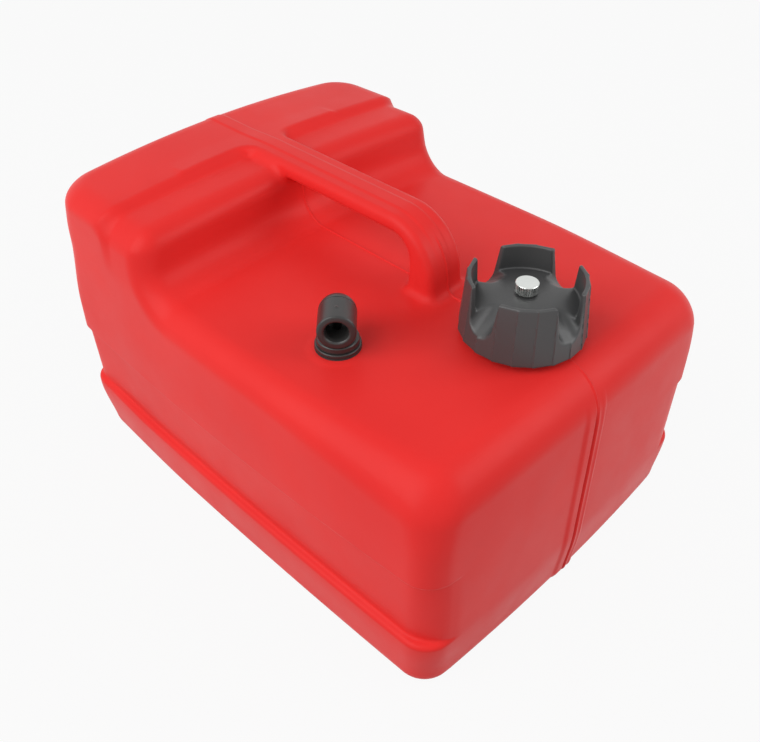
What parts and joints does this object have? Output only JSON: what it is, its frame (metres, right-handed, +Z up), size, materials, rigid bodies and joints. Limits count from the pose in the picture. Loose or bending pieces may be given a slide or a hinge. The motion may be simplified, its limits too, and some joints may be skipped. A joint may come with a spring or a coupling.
{
  "type": "outboard fuel tank",
  "caption": "Moulded plastic boat fuel tank with a carrying handle, a turning filler cap with a vent screw, and a swivelling outlet elbow over a pickup tube.",
  "frame": {"origin": "middle of the underside of the tank, on the surface that it stands on", "axes": "+Z up, +X along the tank towards the filler cap end, Y = 0 the parting plane of the moulded halves"},
  "size_m": [0.3564, 0.268, 0.2175],
  "materials": {
    "red_plastic": "satin polyethylene",
    "black_plastic": "satin",
    "nitrile": "matte",
    "plated": "bright nickel",
    "turned_brass": "turned",
    "spring_steel": "plain",
    "pale_plastic": "plain"
  },
  "bodies": {
    "tank": {"tank_shell": "red_plastic", "port_gasket": "nitrile", "port_bushing": "black_plastic"},
    "cap_seal": {"cap_gasket": "nitrile"},
    "cap": {"cap_crown": "black_plastic", "cap_insert": "pale_plastic", "vent_bush": "turned_brass"},
    "vent_ring": {"vent_seal": "nitrile"},
    "vent": {"vent_screw": "plated", "vent_clip": "spring_steel"},
    "outlet": {"outlet_elbow": "black_plastic", "elbow_oring": "nitrile", "elbow_clip": "spring_steel", "pickup_tube": "pale_plastic", "pickup_strainer": "pale_plastic", "pickup_screen": "spring_steel"}
  },
  "joints": [
    {"name": "cap_rise", "type": "slide", "parent": "tank", "child": "cap_seal", "axis": [0, 0, 1], "range_m": [0, 0.01401]},
    {"name": "cap_turn", "type": "hinge", "parent": "cap_seal", "child": "cap", "pos_m": [0.12, 0, 0.18], "axis": [0, 0, 1], "range_deg": [0, 1260]},
    {"name": "vent_rise", "type": "slide", "parent": "cap", "child": "vent_ring", "axis": [0, 0, 1], "range_m": [0, 0.00301]},
    {"name": "vent_turn", "type": "hinge", "parent": "vent_ring", "child": "vent", "pos_m": [0.12, 0, 0.195], "axis": [0, 0, 1], "range_deg": [0, 1080]},
    {"name": "elbow_swivel", "type": "hinge", "parent": "tank", "child": "outlet", "pos_m": [0.052, -0.08, 0.172], "axis": [0, 0, 1], "range_deg": [-180, 180]}
  ],
  "couplings": [
    {"joint": "cap_rise", "follows": "cap_turn", "m_per_rad": 0.00063662},
    {"joint": "vent_rise", "follows": "vent_turn", "m_per_rad": 0.00015915}
  ]
}
